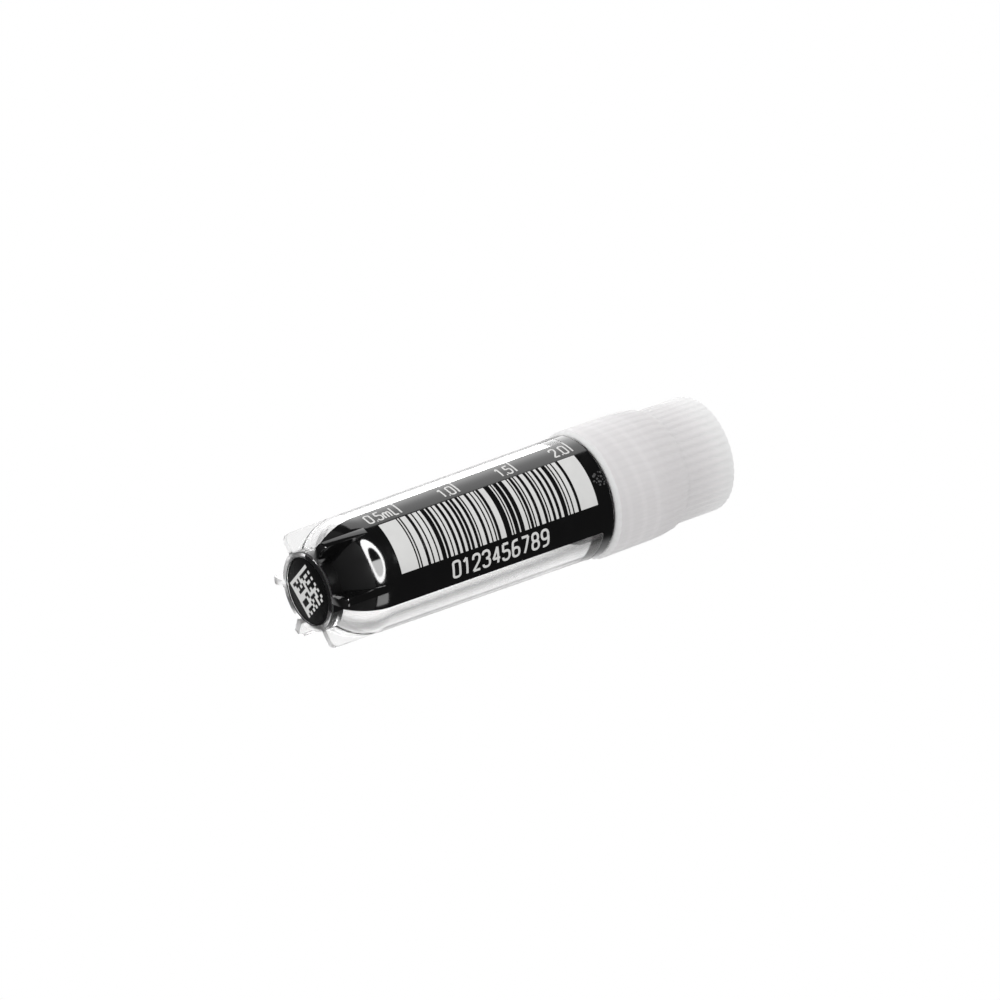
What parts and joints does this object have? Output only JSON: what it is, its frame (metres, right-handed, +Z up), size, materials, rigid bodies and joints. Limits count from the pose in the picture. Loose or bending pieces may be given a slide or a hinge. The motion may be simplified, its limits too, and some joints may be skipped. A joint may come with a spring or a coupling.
{
  "type": "cryovial",
  "caption": "Slim clear screw-cap cryogenic sample vial with a round bottom, a star-shaped standing foot, a black marking panel and a ribbed translucent cap.",
  "frame": {"origin": "centre of the foot's standing plane, on the vial's axis", "axes": "+Z up the vial's axis to the cap; +X through one of the foot's fins; the black marking panel is centred near -Y"},
  "size_m": [0.0132, 0.0132, 0.0481],
  "materials": {
    "clear_polypropylene": "clear polished moulding",
    "black_plastic": "gloss black",
    "natural_polyethylene": "translucent white satin moulding",
    "silicone": "milky silicone"
  },
  "bodies": {
    "vial": {"tube": "clear_polypropylene", "code_disc": "black_plastic"},
    "lifting_seal": {"seal_ring": "silicone"},
    "screw_cap": {"cap": "natural_polyethylene"}
  },
  "joints": [
    {"name": "cap_lift", "type": "slide", "parent": "vial", "child": "lifting_seal", "axis": [0, 0, 1], "range_m": [0, 0.014]},
    {"name": "cap_turn", "type": "hinge", "parent": "lifting_seal", "child": "screw_cap", "pos_m": [0, 0, 0.0405], "axis": [0, 0, 1], "range_deg": [0, 1440]}
  ],
  "couplings": [
    {"joint": "cap_turn", "follows": "cap_lift", "rad_per_m": 1795.2}
  ]
}
